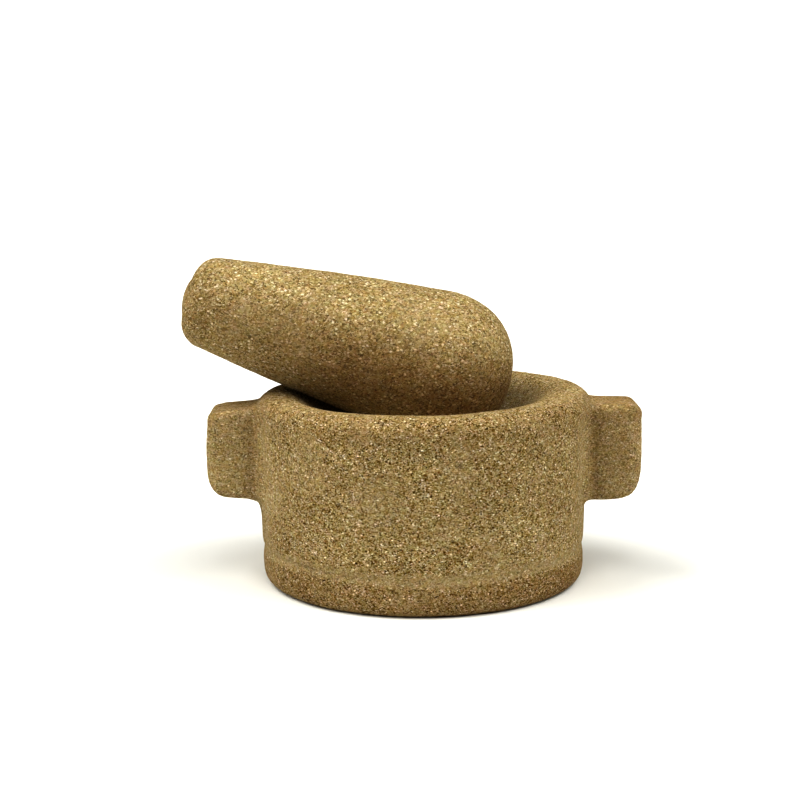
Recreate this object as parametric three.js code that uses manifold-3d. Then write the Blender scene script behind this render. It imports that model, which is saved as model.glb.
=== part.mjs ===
// A stone mortar (molcajete) with two lug handles, and its loose pestle (tejolote).
// The mortar is one stone: a thick round block with a shallow grinding bowl, a broad rounded rim and a
// lug on each side. The pestle is a second stone: a tapered, slightly barrelled rod with a round grinding end.
// It lies across the rim, its grinding end down in the bowl.
//
// Millimetres, +Z up. The origin is the centre of the mortar's flat base, and the lugs lie along X.

import * as THREE from "three";
import { mergeVertices } from "three/addons/utils/BufferGeometryUtils.js";
import Module from "manifold-3d";

// ---- driving dimensions: mortar ----
const BODY_RADIUS = 65; // outside of the wall, under the rim
const BASE_RADIUS = 63.6; // outside of the wall, just above the foot
const BODY_HEIGHT = 75; // base to the crown of the rim
const RIM_TILT = THREE.MathUtils.degToRad(0.6); // the hand-cut rim is lower on the -X side

const FOOT_ROUNDING = { across: 4.7, up: 6 };
const SHOULDER_ROUNDING = { across: 9.6, up: 6.5 }; // outside of the rim
const LIP_RADIUS = 12; // inside of the rim
const GROOVE = { height: 14, half: 2.2, depth: 0.6 }; // shallow tool line all round, above the foot

const FLOOR_HEIGHT = 49.8; // lowest point of the grinding bowl
const FLOOR_RADIUS = 47; // how round the bowl's floor is
const FLOOR_SPREAD = THREE.MathUtils.degToRad(34.5); // slope at which the floor's arc ends

// ---- driving dimensions: lugs, cut by hand, so the two differ ----
// reach is from the mortar's axis to the lug's furthest point, and furthest is that point's height;
// a lug's underside and top run from their heights at the root towards those at the outer end;
// corner is how far the rounding at the outer end takes from each of the edges that meet there
const RIGHT_LUG = {
  reach: 86.1,
  furthest: 52.5,
  underside: { root: 31.6, end: 32.2, corner: 10.5 },
  top: { root: 69.5, end: 69.1, corner: 4.2 },
};
const LEFT_LUG = {
  reach: 85,
  furthest: 51,
  underside: { root: 34.2, end: 34.8, corner: 11 },
  top: { root: 70.7, end: 69.2, corner: 6.5 },
};
const LUG_BOW = 0.005; // mm that the outer edge falls back, per square mm of height above or below furthest
const LUG_THICKNESS = 26;
const LUG_ROOT = { x: 55, wall: 62 }; // where a lug starts, and where its root fillets leave the wall
const LUG_ROOT_FILLET = 4.4;
const LUG_UPRIGHT_ROUNDING = 6; // of its two upright edges
const LUG_EDGE_ROUNDING = 2.4; // along its top and bottom

// ---- driving dimensions: pestle ----
const PESTLE_LENGTH = 132;
const GRIP_RADIUS = 18.4; // at the thin, flat end
const GRIP_ROUNDING = 9.5;
const GRIP_CROWN = 2.1; // how far the thin end bulges
const HEAD_RADIUS = 30.2; // at the grinding end
const HEAD_FULLNESS = 2.18; // 2 is a half ball, and more is fuller between its side and its tip
const PESTLE_BARREL = 0.85; // how far the side bulges past a straight taper
const PESTLE_LEAN = THREE.MathUtils.degToRad(15.8); // from level, grinding end down
const PESTLE_TURN = THREE.MathUtils.degToRad(-3); // about the vertical, thin end towards +Y
const HEAD_CENTRE = new THREE.Vector3(5.7, 6, 83.65); // centre of the pestle's widest ring

const ROUND_SEGMENTS = 96;
const PESTLE_SEGMENTS = 56;
const CORNER_SEGMENTS = 6;
const JOIN_TOLERANCE = 0.03; // slivers smaller than this are cleared where the lugs join the body

const STONE = { color: 0xa08a5c, roughness: 0.95, metalness: 0 };

const wasm = await Module();
wasm.setup();

// A closed three.js geometry as a manifold-3d solid.
function solid(geometry) {
  const bare = new THREE.BufferGeometry();
  bare.setAttribute("position", geometry.getAttribute("position"));
  if (geometry.index) bare.setIndex(geometry.index);
  const merged = mergeVertices(bare, 1e-3);
  return new wasm.Manifold(
    new wasm.Mesh({
      numProp: 3,
      vertProperties: merged.attributes.position.array,
      triVerts: new Uint32Array(merged.index.array),
    }),
  );
}

// A manifold-3d solid as a three.js geometry.
function geometryOf(manifold) {
  const mesh = manifold.getMesh();
  const geometry = new THREE.BufferGeometry();
  geometry.setAttribute("position", new THREE.BufferAttribute(mesh.vertProperties, 3));
  geometry.setIndex(new THREE.BufferAttribute(mesh.triVerts, 1));
  return geometry;
}

// Moves every vertex of a geometry by a function that changes a Vector3 in place.
function reshape(geometry, change) {
  const position = geometry.getAttribute("position");
  const point = new THREE.Vector3();
  for (let i = 0; i < position.count; i++) {
    change(point.fromBufferAttribute(position, i));
    position.setXYZ(i, point.x, point.y, point.z);
  }
  return geometry;
}

// Turns a profile of (radius, height) points round the Z axis.
function revolve(points, segments) {
  return new THREE.LatheGeometry(points, segments).rotateX(Math.PI / 2);
}

// Points on part of an ellipse, both ends included. Angles run anticlockwise from the radius direction.
function arc(centreR, centreZ, across, up, from, to, steps) {
  const curve = new THREE.EllipseCurve(centreR, centreZ, across, up, from, to, to < from);
  return curve.getPoints(steps);
}

// Radius of the outside wall at a height: a slight taper, less the tool groove.
function wallRadius(height) {
  const bottom = FOOT_ROUNDING.up;
  const top = BODY_HEIGHT - SHOULDER_ROUNDING.up;
  const taper = THREE.MathUtils.mapLinear(height, bottom, top, BASE_RADIUS, BODY_RADIUS);
  const offset = (height - GROOVE.height) / GROOVE.half;
  return taper - GROOVE.depth * Math.exp(-offset * offset);
}

function mortarProfile() {
  const wallBottom = FOOT_ROUNDING.up;
  const wallTop = BODY_HEIGHT - SHOULDER_ROUNDING.up;
  const crownRadius = BODY_RADIUS - SHOULDER_ROUNDING.across;
  const floorCentre = FLOOR_HEIGHT + FLOOR_RADIUS;
  const footCentre = BASE_RADIUS - FOOT_ROUNDING.across;

  const foot = arc(footCentre, wallBottom, FOOT_ROUNDING.across, FOOT_ROUNDING.up, -Math.PI / 2, 0, 6);
  const grooveSteps = [-2, -1.2, -0.6, 0, 0.6, 1.2, 2];
  const groove = grooveSteps.map((step) => {
    const height = GROOVE.height + step * GROOVE.half;
    return new THREE.Vector2(wallRadius(height), height);
  });
  const wall = [30, 42, 55].map((height) => new THREE.Vector2(wallRadius(height), height));
  const shoulder = arc(
    crownRadius, wallTop, SHOULDER_ROUNDING.across, SHOULDER_ROUNDING.up, 0, Math.PI / 2, 9,
  );
  const lip = arc(
    crownRadius, BODY_HEIGHT - LIP_RADIUS, LIP_RADIUS, LIP_RADIUS,
    Math.PI / 2, Math.PI / 2 + FLOOR_SPREAD, 6,
  ).slice(1);
  const floor = arc(
    0, floorCentre, FLOOR_RADIUS, FLOOR_RADIUS,
    FLOOR_SPREAD - Math.PI / 2, -Math.PI / 2, 10,
  ).slice(0, -1);
  return [
    new THREE.Vector2(0, 0),
    ...foot,
    ...groove,
    ...wall,
    ...shoulder,
    ...lip,
    ...floor,
    new THREE.Vector2(0, FLOOR_HEIGHT),
  ];
}

// The outline of a lug seen from above, pointing along +X: straight sides, a rounded end, and a hollow
// fillet on each side where it leaves the wall.
function lugPlan(reach) {
  const half = LUG_THICKNESS / 2 - LUG_EDGE_ROUNDING;
  const fillet = LUG_ROOT_FILLET;
  const corner = LUG_UPRIGHT_ROUNDING - LUG_EDGE_ROUNDING;
  const end = reach - LUG_EDGE_ROUNDING;
  const side = LUG_ROOT.wall + fillet;
  const plan = new THREE.Shape();
  plan.moveTo(LUG_ROOT.x, -half - fillet);
  plan.lineTo(LUG_ROOT.wall, -half - fillet);
  plan.absarc(side, -half - fillet, fillet, Math.PI, Math.PI / 2, true);
  plan.absarc(end - corner, corner - half, corner, -Math.PI / 2, 0, false);
  plan.absarc(end - corner, half - corner, corner, 0, Math.PI / 2, false);
  plan.absarc(side, half + fillet, fillet, -Math.PI / 2, -Math.PI, true);
  plan.lineTo(LUG_ROOT.x, half + fillet);
  return plan;
}

// The outline of a lug seen from the front, before it is tapered. The shape's second axis is height.
function lugElevation({ reach, furthest, underside, top }) {
  const edge = (height) => reach - LUG_BOW * (height - furthest) ** 2;
  const slope = (height) => -2 * LUG_BOW * (height - furthest);
  const low = underside.root + underside.corner;
  const high = top.root - top.corner;
  const middle = (low + high) / 2;
  const lowCorner = edge(low) - slope(low) * underside.corner;
  const highCorner = edge(high) + slope(high) * top.corner;
  const elevation = new THREE.Shape();
  elevation.moveTo(LUG_ROOT.x, underside.root);
  elevation.lineTo(lowCorner - underside.corner, underside.root);
  elevation.quadraticCurveTo(lowCorner, underside.root, edge(low), low);
  elevation.quadraticCurveTo(edge(low) + slope(low) * (middle - low), middle, edge(high), high);
  elevation.quadraticCurveTo(highCorner, top.root, highCorner - top.corner, top.root);
  elevation.lineTo(LUG_ROOT.x, top.root);
  return elevation;
}

// One lug: the common part of its plan, run upwards, and its elevation, run from front to back. Its
// underside and top are then sloped.
function lug(size) {
  const { reach, underside, top } = size;
  const depth = LUG_THICKNESS + 2 * LUG_ROOT_FILLET;
  const upright = new THREE.ExtrudeGeometry(lugPlan(reach), {
    depth: top.root - underside.root - 2 * LUG_EDGE_ROUNDING,
    bevelSize: LUG_EDGE_ROUNDING,
    bevelThickness: LUG_EDGE_ROUNDING,
    bevelSegments: 3,
    curveSegments: CORNER_SEGMENTS,
  }).translate(0, 0, underside.root + LUG_EDGE_ROUNDING);
  const sideways = new THREE.ExtrudeGeometry(lugElevation(size), {
    depth,
    bevelEnabled: false,
    curveSegments: CORNER_SEGMENTS,
  })
    .translate(0, 0, -depth / 2)
    .rotateX(Math.PI / 2);
  const untapered = geometryOf(solid(upright).intersect(solid(sideways)));
  const tapered = reshape(untapered, (point) => {
    const share = (point.x - LUG_ROOT.wall) / (reach - LUG_ROOT.wall);
    const low = THREE.MathUtils.lerp(underside.root, underside.end, share);
    const high = THREE.MathUtils.lerp(top.root, top.end, share);
    point.z = THREE.MathUtils.mapLinear(point.z, underside.root, top.root, low, high);
  });
  return solid(tapered);
}

function mortar() {
  const body = solid(revolve(mortarProfile(), ROUND_SEGMENTS));
  const right = lug(RIGHT_LUG);
  const left = lug(LEFT_LUG).rotate([0, 0, 180]);
  const whole = body.add(right).add(left).simplify(JOIN_TOLERANCE);
  return reshape(geometryOf(whole), (point) => {
    point.z += point.x * Math.tan(RIM_TILT) * (point.z / BODY_HEIGHT);
  });
}

// Points along the grinding end, from just past its widest ring to just short of its tip.
function headPoints(headCentre) {
  const power = 2 / HEAD_FULLNESS;
  const quarter = arc(0, 0, 1, 1, 0, Math.PI / 2, 11).slice(1, -1);
  return quarter.map(
    ({ x, y }) => new THREE.Vector2(HEAD_RADIUS * x ** power, headCentre + HEAD_RADIUS * y ** power),
  );
}

// The pestle's profile: radius against distance from the thin end's face.
function pestleProfile() {
  const headCentre = PESTLE_LENGTH - HEAD_RADIUS;
  const gripSide = new THREE.Vector2(GRIP_RADIUS, GRIP_ROUNDING);
  const headSide = new THREE.Vector2(HEAD_RADIUS, headCentre);
  const barrel = new THREE.Vector2()
    .addVectors(gripSide, headSide)
    .multiplyScalar(0.5)
    .add(new THREE.Vector2(2 * PESTLE_BARREL, 0));
  const face = GRIP_RADIUS - GRIP_ROUNDING;
  const crown = new THREE.QuadraticBezierCurve(
    new THREE.Vector2(0, -GRIP_CROWN),
    new THREE.Vector2(face * 0.6, -GRIP_CROWN),
    new THREE.Vector2(face, 0),
  );
  const side = new THREE.QuadraticBezierCurve(gripSide, barrel, headSide);
  return [
    ...crown.getPoints(4),
    ...arc(face, GRIP_ROUNDING, GRIP_ROUNDING, GRIP_ROUNDING, -Math.PI / 2, 0, 7).slice(1),
    ...side.getPoints(12).slice(1),
    ...headPoints(headCentre),
    new THREE.Vector2(0, PESTLE_LENGTH),
  ];
}

function pestle() {
  return revolve(pestleProfile(), PESTLE_SEGMENTS);
}

function stoneMesh(name, geometry) {
  const mesh = new THREE.Mesh(geometry, new THREE.MeshStandardMaterial(STONE));
  mesh.name = name;
  return mesh;
}

const group = new THREE.Group();
group.add(stoneMesh("mortar", mortar()));

// The pestle's own +Z runs from its thin end to its grinding end, so it is laid over and turned into place.
const pestlePivot = new THREE.Group();
pestlePivot.position.copy(HEAD_CENTRE);
pestlePivot.rotation.set(0, Math.PI / 2 + PESTLE_LEAN, PESTLE_TURN, "ZYX");
const pestleMesh = stoneMesh("pestle", pestle());
pestleMesh.position.z = -(PESTLE_LENGTH - HEAD_RADIUS);
pestlePivot.add(pestleMesh);
group.add(pestlePivot);

export default group;
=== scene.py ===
"""A carved sandstone mortar with two lugs, and the pestle that rests in it.

Both stones are worked up from the fixed CAD frame. Each CAD solid is meshed evenly, rubbed soft along
its edges, then worn, pitted and tooled point by point, and given a procedural sandstone made of separate
grains. Metres, +Z up, in the CAD model's own frame.
"""

import math

import bpy
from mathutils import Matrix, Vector, noise


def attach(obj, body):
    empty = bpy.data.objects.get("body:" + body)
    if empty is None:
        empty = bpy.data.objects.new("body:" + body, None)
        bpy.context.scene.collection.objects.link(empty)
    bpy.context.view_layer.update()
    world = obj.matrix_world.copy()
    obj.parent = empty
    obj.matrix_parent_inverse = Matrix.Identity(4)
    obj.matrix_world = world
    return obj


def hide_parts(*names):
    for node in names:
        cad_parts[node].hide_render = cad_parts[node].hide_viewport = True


MM = 0.001

# ---- camera ----
LENS = 76.0
SENSOR = 36.0
CAMERA_PLACE = Vector((-8.67, -657.6, 184.2)) * MM
CAMERA_PITCH = math.radians(9.78)  # below level
CAMERA_ROLL = math.radians(-0.57)
CAMERA_REACH = (0.01, 100)  # nearest and furthest that it sees

# ---- light ----
SOFTBOXES = [  # name, height and bearing in degrees, and brightness; 0 is the camera's side, and 90 is +X
    ("left", 55, -90, 0.74),
    ("right", 55, 90, 0.41),
    ("right_low", 36, 80, 0.36),
    ("front_left", 55, -30, 0.29),
    ("front_right", 55, 30, 0.37),
    ("left_low", 30, -60, 0.26),
]
SOFTBOX_SPREAD = math.radians(40)
BACKDROP_BRIGHTNESS = 1.5
CONTRAST_GAMMA = 0.7
FLOOR_SIZE = 40
FLOOR_COLOUR = (0.8, 0.8, 0.76)

# ---- both stones' shape ----
MORTAR_VOXEL = 0.9 * MM  # edge length of the even mesh that each stone is worked from
PESTLE_VOXEL = 0.65 * MM
RUB_PASSES = 5  # smoothing passes, which round the edges and hollow corners
PIT_DEPTH = 0.5 * MM

# ---- mortar ----
WALL_RADIUS = 60 * MM  # everything further out is wall or lug
BOWL_RADIUS = 52 * MM  # everything nearer in, and above the bowl's floor, is bowl
BELOW_BOWL = 40 * MM
LUG_START = 66 * MM  # everything further out is lug
SHOULDER = (62 * MM, 71 * MM)  # radius and height of the rim's outer shoulder
CROWN = (54 * MM, 75 * MM)  # radius and height of the rim's crown
LUG_CREASE = 66.3 * MM  # x where a lug's sides leave the wall
LEFT_CORNER = (-82.7 * MM, 66.9 * MM, 1.2 * MM)  # x and height of each lug's upper corner, and its fullness
RIGHT_CORNER = (83.9 * MM, 67 * MM, 0.7 * MM)
LEFT_ARMPIT = (-64.5 * MM, 34 * MM)  # x and height of the corner under the left lug
ARMPIT_FILLET = 1.6 * MM
CREASE_DEPTH = 0.6 * MM
GROOVE_HEIGHT = 14 * MM  # tool line round the mortar, above its foot
GROOVE_RISE = 1.5 * MM  # how much higher it runs under the lugs
GROOVE_WANDER = 0.4 * MM
GROOVE_DEPTH = 0.45 * MM
RUBBED_FRONT = (-17 * MM, 45 * MM)  # x and height of a patch rubbed smooth on the front of the wall

# ---- pestle ----
PESTLE_LEAN = math.radians(15.8)
PESTLE_CENTRE = Vector((5.7, 6, 83.4)) * MM  # a point on its axis, in the head

# ---- stone colours, linear ----
MEAN_TONE = (0.360, 0.285, 0.151)
GRAIN_TONES = [  # share of the grains that are darker, and the colour there
    (0.00, (0.040, 0.018, 0.002)),
    (0.08, (0.090, 0.046, 0.005)),
    (0.25, (0.200, 0.130, 0.032)),
    (0.50, (0.330, 0.252, 0.112)),
    (0.75, (0.422, 0.337, 0.170)),
    (0.93, (0.530, 0.438, 0.260)),
    (1.00, (0.790, 0.715, 0.515)),
]
QUARTZ_TONES = [(0, (0.50, 0.40, 0.24)), (1, (0.95, 0.85, 0.62))]
RUST = (0.42, 0.18, 0.07)
GREY_GREEN = (0.22, 0.22, 0.12)
PATCH_TINTS = [(0.3, (0.93, 0.92, 0.905)), (0.5, (1, 1, 1)), (0.7, (1.05, 1.065, 1.05))]
# The colour that stains and painted shade multiply into the stone.
STAIN_AND_SHADE = (0.66, 0.53, 0.42)
PIT_SHADE = (0.25, 0.2, 0.15)

# ---- how the stone's colours are laid out ----
BEDDING = (1, 1, 1.3)  # the grains lie flattened, as they settled
FINE_GRAINS = 1.7  # how many fine grains are as long as one coarse grain
QUARTZ_GRAINS = 0.55  # how many quartz grains are as long as one coarse grain
BED_SCALE = 90  # noise scales, per metre
CLUSTER_SCALE = 130
HUE_SCALE = 380
PATCH_SCALE = 38
PATCH_SHIFT = (0.032, 0, 0)  # sets where on the stones the broad patches fall


# ---------------------------------------------------------------- node trees


class Shader:
    """A short way to write a node tree: each call adds a node and links or sets its inputs."""

    def __init__(self, owner):
        owner.use_nodes = True
        self.tree = owner.node_tree
        self.tree.nodes.clear()

    def add(self, kind, inputs=(), **settings):
        node = self.tree.nodes.new("ShaderNode" + kind)
        for name, value in settings.items():
            setattr(node, name, value)
        for name, value in dict(inputs).items():
            if isinstance(value, bpy.types.NodeSocket):
                self.tree.links.new(value, node.inputs[name])
            else:
                node.inputs[name].default_value = value
        return node

    def math(self, operation, *values):
        return self.add("Math", dict(enumerate(values)), operation=operation).outputs[0]

    def vector(self, operation, a, b):
        return self.add("VectorMath", {0: a, 1: b}, operation=operation).outputs[0]

    def split(self, colour):
        return self.add("SeparateColor", {"Color": colour}).outputs

    def ramp(self, value, stops):
        node = self.add("ValToRGB", {"Fac": value})
        elements = node.color_ramp.elements
        while len(elements) < len(stops):
            elements.new(1)
        for element, (position, colour) in zip(elements, stops):
            element.position = position
            element.color = (*colour, 1)
        return node.outputs["Color"]

    def range(self, value, low, high, new_low, new_high):
        inputs = {
            "Value": value,
            "From Min": low,
            "From Max": high,
            "To Min": new_low,
            "To Max": new_high,
        }
        return self.add("MapRange", inputs).outputs["Result"]

    def mix(self, share, a, b, blend="MIX"):
        """a and b mixed. Each is a socket or a plain colour, and the share is kept from 0 to 1."""
        a, b = ((*colour, 1) if isinstance(colour, tuple) else colour for colour in (a, b))
        inputs = {0: share, 6: a, 7: b}
        return self.add("Mix", inputs, data_type="RGBA", blend_type=blend).outputs[2]


# ---------------------------------------------------------------- camera, light and floor


def add_camera():
    camera = bpy.data.objects.new("camera", bpy.data.cameras.new("camera"))
    camera.data.lens = LENS
    camera.data.sensor_width = SENSOR
    camera.data.clip_start, camera.data.clip_end = CAMERA_REACH
    camera.location = CAMERA_PLACE
    camera.rotation_mode = "ZYX"
    camera.rotation_euler = (math.pi / 2 - CAMERA_PITCH, 0, CAMERA_ROLL)
    bpy.context.scene.collection.objects.link(camera)
    bpy.context.scene.camera = camera


def add_softbox(name, height, bearing, brightness):
    """A broad, far-off light. Brightness 1 makes a white surface that faces it look white."""
    light = bpy.data.lights.new(name, "SUN")
    light.energy = brightness * math.pi
    light.angle = SOFTBOX_SPREAD
    softbox = bpy.data.objects.new(name, light)
    up, across = math.sin(math.radians(height)), math.cos(math.radians(height))
    bearing = math.radians(bearing)
    direction = Vector((across * math.sin(bearing), -across * math.cos(bearing), up))
    softbox.rotation_mode = "QUATERNION"
    softbox.rotation_quaternion = direction.to_track_quat("Z", "Y")
    bpy.context.scene.collection.objects.link(softbox)


def add_background():
    """A world that looks white, and gives no light of its own."""
    world = bpy.data.worlds.new("studio")
    s = Shader(world)
    seen = s.add("LightPath").outputs["Is Camera Ray"]
    strength = s.math("MULTIPLY", seen, BACKDROP_BRIGHTNESS)
    backdrop = s.add("Background", {"Color": (1, 1, 1, 1), "Strength": strength})
    s.add("OutputWorld", {"Surface": backdrop.outputs["Background"]})
    bpy.context.scene.world = world


def add_floor():
    bpy.ops.mesh.primitive_plane_add(size=FLOOR_SIZE)
    floor = bpy.context.object
    floor.name = "floor"
    material = bpy.data.materials.new("pale_floor")
    material.use_nodes = True
    shader = material.node_tree.nodes["Principled BSDF"]
    shader.inputs["Base Color"].default_value = (*FLOOR_COLOUR, 1)
    shader.inputs["Roughness"].default_value = 1
    shader.inputs["Specular IOR Level"].default_value = 0
    floor.data.materials.append(material)


# ---------------------------------------------------------------- working a stone


def even_mesh(node, name, voxel):
    """A copy of a CAD node as an evenly meshed, lightly rubbed solid."""
    piece = bpy.data.objects.new(name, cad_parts[node].data.copy())
    piece.data.materials.clear()
    bpy.context.scene.collection.objects.link(piece)
    remesh = piece.modifiers.new("even", "REMESH")
    remesh.mode = "VOXEL"
    remesh.voxel_size = voxel
    rub = piece.modifiers.new("rub", "SMOOTH")
    rub.factor = 0.5
    rub.iterations = RUB_PASSES
    bpy.context.view_layer.update()
    worked = piece.evaluated_get(bpy.context.evaluated_depsgraph_get())
    piece.data = bpy.data.meshes.new_from_object(worked)
    piece.data.name = name
    piece.modifiers.clear()
    piece.data.polygons.foreach_set("use_smooth", [True] * len(piece.data.polygons))
    return piece


def carve(piece, surface):
    """Moves each point along its normal, and notes its wear, stain, painted shade and pits, as
    surface(point) says.

    surface gives the height in metres, how worn smooth the stone is there, how much stain and painted shade
    it takes and how pitted it is. No point goes below the table.
    """
    mesh = piece.data
    normals = [v.normal.copy() for v in mesh.vertices]
    finish_and_shade = mesh.attributes.new("finish_and_shade", "FLOAT_VECTOR", "POINT")
    for vertex, normal in zip(mesh.vertices, normals):
        height, worn, stain_and_shade, pitted = surface(vertex.co)
        finish_and_shade.data[vertex.index].vector = (worn, stain_and_shade, pitted)
        vertex.co += normal * height
        vertex.co.z = max(vertex.co.z, 0)
    mesh.update()


def undulation(point, size, seed):
    """Smooth noise from about -1 to 1, with lumps of the given size."""
    return noise.noise(point / size + Vector((seed, seed * 0.7, seed * 1.3)))


def blend(low, high, value):
    """0 up to low, 1 from high, and smooth between."""
    t = min(max((value - low) / (high - low), 0), 1)
    return t * t * (3 - 2 * t)


def bump(distance, width):
    """1 at no distance, and falling away smoothly over the width."""
    return math.exp(-((distance / width) ** 2))


def pits(point, spacing, radius, share, seed):
    """0 on the plain surface, up to 1 in the middle of a few scattered round pits."""
    distances, centres = noise.voronoi(point / spacing + Vector((seed, 0, 0)))
    if noise.cell(centres[0] * 7.3) > 2 * share - 1:
        return 0
    return max(0, 1 - (distances[0] * spacing / radius) ** 2)


def unevenness(point, seed):
    """What hand cutting leaves on both stones, in metres."""
    broad = 0.22 * MM * undulation(point, 30 * MM, seed)
    lumps = 0.12 * MM * undulation(point, 9 * MM, seed + 5)
    rough = 0.08 * MM * undulation(point, 2.4 * MM, seed + 9)
    return broad + lumps + rough


# ---------------------------------------------------------------- mortar


def tool_line(point):
    """How strong the tool line is at a point, and the band rubbed smooth along it, each from 0 to 1."""
    around = math.atan2(point.y, point.x)
    line = GROOVE_HEIGHT + GROOVE_RISE * math.cos(around) ** 2 + GROOVE_WANDER * math.sin(5 * around)
    above = point.z - line
    strength = 0.7 + 0.3 * math.sin(2 * around + 0.5)
    groove = strength * bump(above, 0.9 * MM)
    rubbed_band = blend(-2.8 * MM, -1.4 * MM, above) - blend(2.4 * MM, 4 * MM, above)
    return groove, rubbed_band


def rim_fullness(point, out, front):
    """The rim's full shoulder, fullest over the right lug, less its crown, worn down most at the front."""
    shoulder = bump(out - SHOULDER[0], 5 * MM) * bump(point.z - SHOULDER[1], 5 * MM)
    shoulder *= 1 + 0.8 * blend(48 * MM, 60 * MM, point.x)
    crown = bump(out - CROWN[0], 6 * MM) * bump(point.z - CROWN[1], 4 * MM) * (0.25 + 0.4 * front)
    return MM * (shoulder - crown)


def lug_fullness(point):
    """The fillet under the left lug, and the fullness of both lugs' upper corners."""
    fillet = bump(math.hypot(point.x - LEFT_ARMPIT[0], point.z - LEFT_ARMPIT[1]), 4 * MM)
    fillet *= 1 - blend(8 * MM, 13 * MM, abs(point.y))
    corner_x, corner_height, fullness = LEFT_CORNER if point.x < 0 else RIGHT_CORNER
    corner = bump(math.hypot(point.x - corner_x, point.z - corner_height), 2.5 * MM)
    corner *= 1 - blend(9 * MM, 12.5 * MM, abs(point.y))
    return ARMPIT_FILLET * fillet + fullness * corner


def lug_crease(point):
    """1 along a lug's front and back sides, where they meet the wall. It sets how deep the crease is
    carved, and how much shade is painted along it.
    """
    crease = bump(abs(point.x) - LUG_CREASE, 2.5 * MM) * blend(9 * MM, 12 * MM, abs(point.y))
    return crease * blend(30 * MM, 36 * MM, point.z) * (1 - blend(64 * MM, 70 * MM, point.z))


def mortar_surface(point):
    out, up = math.hypot(point.x, point.y), point.z
    on_wall = blend(WALL_RADIUS, WALL_RADIUS + 2 * MM, out)
    on_lug = blend(LUG_START, LUG_START + 3 * MM, out)
    in_bowl = 1 - blend(BOWL_RADIUS - 6 * MM, BOWL_RADIUS, out) if up > BELOW_BOWL else 0
    front = blend(10 * MM, 45 * MM, -point.y)

    groove, rubbed_band = tool_line(point)
    crease = lug_crease(point)
    pitted = pits(point, 9 * MM, 1.2 * MM, 0.1, 11)
    height = unevenness(point, 3) + rim_fullness(point, out, front) + lug_fullness(point)
    height -= CREASE_DEPTH * crease + GROOVE_DEPTH * on_wall * groove + PIT_DEPTH * pitted

    patches = 0.65 * blend(0.1, 0.5, undulation(point, 15 * MM, 41))
    from_rubbed_front = math.hypot(point.x - RUBBED_FRONT[0], up - RUBBED_FRONT[1])
    rubbed_front = 0.8 * on_wall * front * bump(from_rubbed_front, 13 * MM)
    beside_lug = 0.85 * on_wall * blend(53 * MM, 61 * MM, abs(point.x))
    worn = max(on_wall * rubbed_band, rubbed_front, patches, 0.7 * in_bowl, 0.5 * on_lug, beside_lug)

    # Below the tool line the stone is darker, most of all to the right.
    foot = (1 - blend(11 * MM, 14 * MM, up)) * (1 + 0.35 * blend(15 * MM, 35 * MM, point.x))
    # The wall is darker round the rim's outer shoulder.
    shoulder_darkening = on_wall * bump(up - SHOULDER[1], 8 * MM)
    blotches = blend(0.2, 0.6, undulation(point, 14 * MM, 61))
    # The right lug is darker than the left.
    right_lug_darkening = on_lug * blend(-10 * MM, 10 * MM, point.x)
    # The crease term paints shade where each lug's sides meet the wall; the blotches are random stains.
    stain_and_shade = 0.42 * foot + 0.25 * shoulder_darkening + 0.1 * blotches + 0.28 * crease + 0.15 * right_lug_darkening
    return height, worn, min(stain_and_shade, 1), pitted


# ---------------------------------------------------------------- pestle


def pestle_surface(point):
    out, up = point.x - PESTLE_CENTRE.x, point.z - PESTLE_CENTRE.z
    along = out * math.cos(PESTLE_LEAN) - up * math.sin(PESTLE_LEAN)
    across = up * math.cos(PESTLE_LEAN) + out * math.sin(PESTLE_LEAN)
    pitted = pits(point, 10 * MM, 1.1 * MM, 0.14, 31)
    height = unevenness(point, 21) - PIT_DEPTH * pitted
    worn = 0.5 * blend(0.1, 0.5, undulation(point, 18 * MM, 63))

    # The underside is darker, most of all towards the head, and less so right along its bottom.
    below = 3 * MM * undulation(point, 20 * MM, 77) - across
    towards_head = 0.35 + 0.65 * blend(-80 * MM, -15 * MM, along)
    stain_and_shade = 0.86 * blend(-19 * MM, 5 * MM, below) - 0.6 * blend(10 * MM, 26 * MM, below)
    return height, worn, towards_head * stain_and_shade, pitted


# ---------------------------------------------------------------- sandstone


def grain_cells(s, point, scale):
    """Cells as grains: three random numbers for each grain, and the distance from its middle."""
    cells = s.add("TexVoronoi", {"Vector": point, "Scale": scale}).outputs
    return s.split(cells["Color"]), cells["Distance"]


def grain_outlines(s, place, grain):
    """The place shifted by fine noise, which makes the outlines of the grains uneven."""
    jitter = s.add("TexNoise", {"Vector": place, "Scale": 1.1 / grain, "Detail": 2}).outputs["Color"]
    centred = s.vector("SUBTRACT", jitter, (0.5, 0.5, 0.5))
    shift = s.add("VectorMath", {0: centred, "Scale": 0.65 * grain}, operation="SCALE").outputs[0]
    return s.vector("ADD", place, shift)


def grain_colours(s, place, coarse, fine):
    """Each grain's own colour. Beds of paler and darker grains run through the stone."""
    beds = s.add("TexNoise", {"Vector": place, "Scale": BED_SCALE, "Detail": 3}).outputs["Fac"]
    darkening = s.range(beds, 0.3, 0.7, 1.22, 0.83)
    coarse_tone = s.ramp(s.math("POWER", coarse[0], darkening), GRAIN_TONES)
    fine_tone = s.ramp(s.math("POWER", fine[0], darkening), GRAIN_TONES)
    is_coarse = s.math("GREATER_THAN", coarse[1], 0.45)
    grains = s.mix(is_coarse, fine_tone, coarse_tone)

    # A few grains are rust red, and a few are grey green.
    rusty = s.math("GREATER_THAN", coarse[2], 0.94)
    grains = s.mix(s.math("MULTIPLY", rusty, 0.25), grains, RUST)
    green = s.math("LESS_THAN", coarse[2], 0.06)
    return s.mix(s.math("MULTIPLY", green, 0.25), grains, GREY_GREEN)


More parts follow.
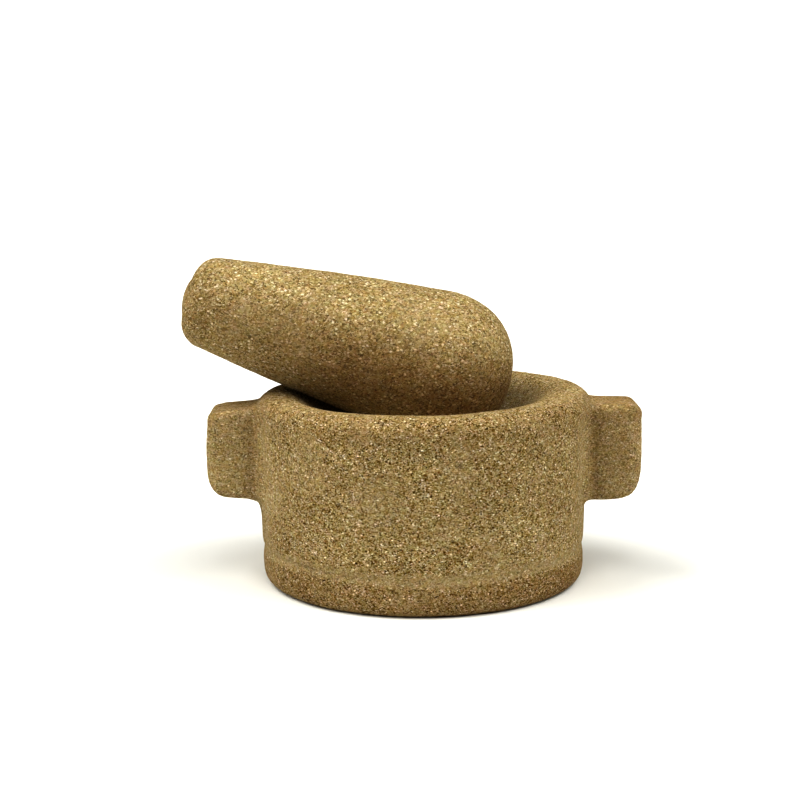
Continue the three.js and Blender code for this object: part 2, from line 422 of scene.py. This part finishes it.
def add_quartz(s, grains, place, uneven, grain, share):
    """The grains with loose clusters of larger, pale quartz grains among them."""
    quartz, distance = grain_cells(s, uneven, QUARTZ_GRAINS / grain)
    clusters = s.add("TexNoise", {"Vector": place, "Scale": CLUSTER_SCALE, "Detail": 2}).outputs["Fac"]
    rarity = s.range(clusters, 0.42, 0.66, 0.995, 0.995 - 2 * share)
    is_quartz = s.math("GREATER_THAN", quartz[0], rarity)
    in_middle = s.range(distance, 0.3, 0.5, 1, 0)
    return s.mix(s.math("MULTIPLY", is_quartz, in_middle), grains, s.ramp(quartz[1], QUARTZ_TONES))


def hue_drift(s, place):
    """A tint that drifts between pinkish and greenish, and between yellow and grey."""
    drift = s.add("TexNoise", {"Vector": place, "Scale": HUE_SCALE, "Detail": 2}).outputs["Color"]
    redness, _, blueness = s.split(drift)
    redness = s.range(redness, 0.3, 0.7, 0.935, 1.065)
    blueness = s.range(blueness, 0.3, 0.7, 0.86, 1.15)
    return s.add("CombineColor", {"Red": redness, "Green": 1, "Blue": blueness}).outputs[0]


def broad_patches(s, place):
    """A tint that makes broad patches browner or more olive."""
    beside = s.vector("SUBTRACT", place, PATCH_SHIFT)
    patches = s.add("TexNoise", {"Vector": beside, "Scale": PATCH_SCALE, "Detail": 4}).outputs["Fac"]
    return s.ramp(patches, PATCH_TINTS)


def grain_heights(s, coarse, coarse_distance, fine, fine_distance):
    """Grains stand out by different amounts, with hollows between them."""
    coarse_height = s.math("SUBTRACT", s.math("MULTIPLY", coarse[1], 0.8), coarse_distance)
    fine_height = s.math("SUBTRACT", s.math("MULTIPLY", fine[1], 0.5), fine_distance)
    return s.math("ADD", coarse_height, s.math("MULTIPLY", fine_height, 0.6))


def sandstone(name, grain, contrast, quartz_share, tint):
    """Sandstone of separate grains: coarse ones set in finer ones, each with its own colour and height.

    grain is the size of the coarse grains in metres. contrast is 0 where all the grains are alike and 1
    where they have their full colours, and more than 1 only makes them stand out further.
    """
    material = bpy.data.materials.new(name)
    s = Shader(material)
    place = s.vector("MULTIPLY", s.add("TexCoord").outputs["Object"], BEDDING)
    finish_and_shade = s.add("Attribute", attribute_name="finish_and_shade").outputs["Vector"]
    worn, stain_and_shade, pitted = s.add("SeparateXYZ", {"Vector": finish_and_shade}).outputs
    uneven = grain_outlines(s, place, grain)
    coarse, coarse_distance = grain_cells(s, uneven, 1 / grain)
    fine, fine_distance = grain_cells(s, uneven, FINE_GRAINS / grain)

    # Rubbing levels the grains and smears them to one colour.
    detail = s.range(worn, 0, 1, contrast, contrast * 0.5)
    grains = add_quartz(s, grain_colours(s, place, coarse, fine), place, uneven, grain, quartz_share)
    colour = s.mix(detail, MEAN_TONE, grains)
    colour = s.mix(1, colour, hue_drift(s, place), "MULTIPLY")
    colour = s.mix(1, colour, broad_patches(s, place), "MULTIPLY")
    # Stains, and the shade painted along the lugs' creases, darken the colour.
    colour = s.mix(stain_and_shade, colour, STAIN_AND_SHADE, "MULTIPLY")
    colour = s.mix(pitted, colour, PIT_SHADE, "MULTIPLY")
    colour = s.mix(1, colour, tint, "MULTIPLY")

    height = grain_heights(s, coarse, coarse_distance, fine, fine_distance)
    height = s.math("MULTIPLY", height, detail)
    bump_map = s.add("Bump", {"Height": height, "Strength": 0.88, "Distance": 0.3 * grain})
    inputs = {
        "Base Color": colour,
        "Roughness": s.range(coarse[0], 0.86, 1.0, 0.92, 0.5),
        "Specular IOR Level": s.range(coarse[0], 0.5, 1.0, 0.02, 0.35),
        "Normal": bump_map.outputs["Normal"],
    }
    shader = s.add("BsdfPrincipled", inputs)
    s.add("OutputMaterial", {"Surface": shader.outputs["BSDF"]})
    return material


# ---------------------------------------------------------------- pieces


def add_stone(node, voxel, surface, material):
    piece = even_mesh(node, node + "_stone", voxel)
    carve(piece, surface)
    piece.data.materials.append(material)
    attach(piece, node)
    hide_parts(node)


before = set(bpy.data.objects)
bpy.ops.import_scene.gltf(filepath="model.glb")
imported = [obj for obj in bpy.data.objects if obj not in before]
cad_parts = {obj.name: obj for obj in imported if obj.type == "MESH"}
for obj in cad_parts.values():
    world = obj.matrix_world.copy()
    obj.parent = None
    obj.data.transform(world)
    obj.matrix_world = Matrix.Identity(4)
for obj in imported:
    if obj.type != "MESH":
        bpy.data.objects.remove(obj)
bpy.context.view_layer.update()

add_camera()
add_background()
for softbox in SOFTBOXES:
    add_softbox(*softbox)
add_floor()
bpy.context.scene.view_settings.view_transform = "Standard"
bpy.context.scene.view_settings.gamma = CONTRAST_GAMMA

mortar_sandstone = sandstone("mortar_sandstone", 0.55 * MM, 1.12, 0.035, (1.06, 1.045, 1.055))
pestle_sandstone = sandstone("pestle_sandstone", 0.72 * MM, 0.71, 0.10, (1.05, 1.04, 1.02))
add_stone("mortar", MORTAR_VOXEL, mortar_surface, mortar_sandstone)
add_stone("pestle", PESTLE_VOXEL, pestle_surface, pestle_sandstone)
